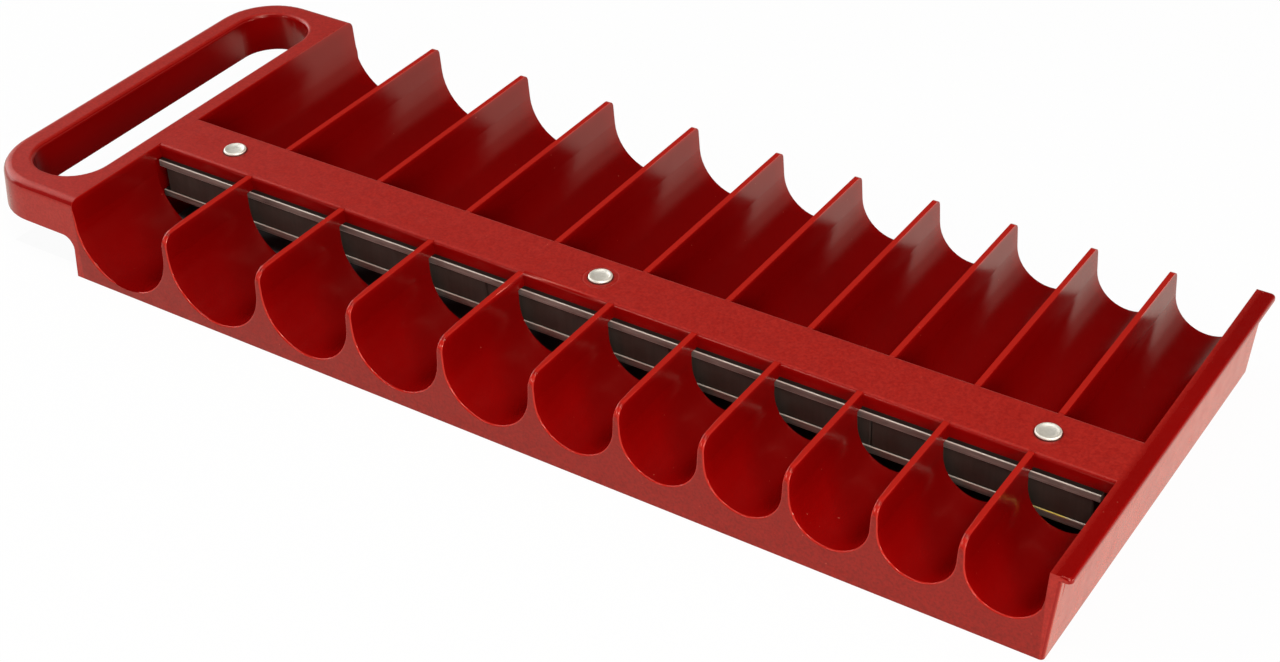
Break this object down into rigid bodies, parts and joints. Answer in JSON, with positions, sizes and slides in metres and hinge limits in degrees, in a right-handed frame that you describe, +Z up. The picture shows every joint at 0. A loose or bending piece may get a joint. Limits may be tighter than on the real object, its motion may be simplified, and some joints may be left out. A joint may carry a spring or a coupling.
{
  "type": "magnetic socket tray",
  "caption": "Moulded tray with graduated U-shaped pockets on both sides of a flat spine, a riveted magnet pack under the spine and a loop handle at one end.",
  "frame": {"origin": "centre of the footprint of the whole object, on the surface it rests on", "axes": "+X along the row of pockets, from the handle to the end wall; +Y from the short pockets to the deep ones; +Z up, out of the pockets"},
  "size_m": [0.314, 0.1166, 0.0245],
  "materials": {
    "red_plastic": "satin",
    "pole_steel": "satin",
    "ferrite": "matte",
    "rivet_metal": "satin"
  },
  "bodies": {
    "root": {"socket_tray": "red_plastic", "upper_pole_strip": "pole_steel", "lower_pole_strip": "pole_steel", "magnet_block_1": "ferrite", "magnet_block_2": "ferrite", "magnet_block_3": "ferrite", "magnet_block_4": "ferrite", "magnet_block_5": "ferrite", "rivet_handle_end": "rivet_metal", "rivet_middle": "rivet_metal", "rivet_lip_end": "rivet_metal"}
  },
  "joints": []
}
